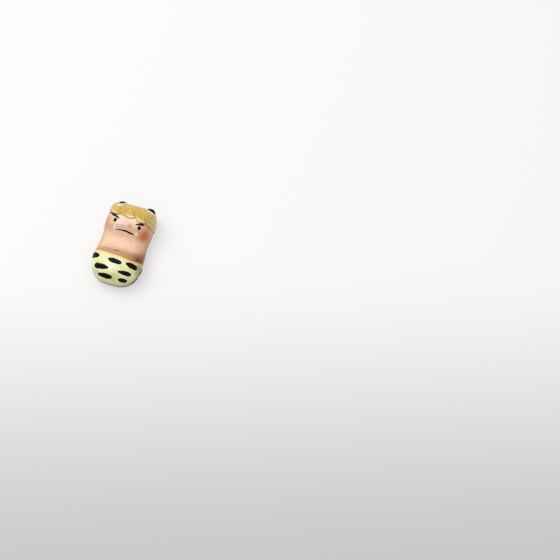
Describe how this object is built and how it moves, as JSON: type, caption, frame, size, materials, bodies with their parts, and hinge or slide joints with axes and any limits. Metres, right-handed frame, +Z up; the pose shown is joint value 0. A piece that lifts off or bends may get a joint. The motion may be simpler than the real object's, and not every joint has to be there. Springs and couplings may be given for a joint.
{
  "type": "chopstick rest",
  "caption": "Glazed ceramic chopstick rest: a small horned figure lying on its back, with a dip across its belly that holds a pair of sticks.",
  "frame": {"origin": "middle of the flat foot, on the table under the middle of the part's box", "axes": "+Y from the seat to the crown of the head, +Z up, sticks lie along X"},
  "size_m": [0.026, 0.043, 0.0173],
  "materials": {
    "bare_clay": "matte",
    "skin_glaze": "gloss",
    "hair_glaze": "gloss",
    "trouser_glaze": "gloss",
    "horn_glaze": "gloss",
    "curl_slip": "gloss",
    "fang_enamel": "gloss",
    "navel_enamel": "gloss",
    "dark_enamel": "gloss",
    "stripe_enamel": "gloss"
  },
  "bodies": {
    "root": {"clay_body": "bare_clay", "skin_coat": "skin_glaze", "hair_coat": "hair_glaze", "trouser_coat": "trouser_glaze", "left_horn": "horn_glaze", "right_horn": "horn_glaze", "left_horn_tip": "dark_enamel", "right_horn_tip": "dark_enamel", "hair_curls": "curl_slip", "left_brow": "dark_enamel", "right_brow": "dark_enamel", "left_eye": "dark_enamel", "right_eye": "dark_enamel", "mouth_line": "dark_enamel", "left_fang": "fang_enamel", "right_fang": "fang_enamel", "navel": "navel_enamel", "stripe_1": "stripe_enamel", "stripe_2": "stripe_enamel", "stripe_3": "stripe_enamel", "stripe_4": "stripe_enamel", "stripe_5": "stripe_enamel", "stripe_6": "stripe_enamel", "stripe_7": "stripe_enamel", "stripe_8": "stripe_enamel", "stripe_9": "stripe_enamel", "stripe_10": "stripe_enamel", "stripe_11": "stripe_enamel"}
  },
  "joints": []
}
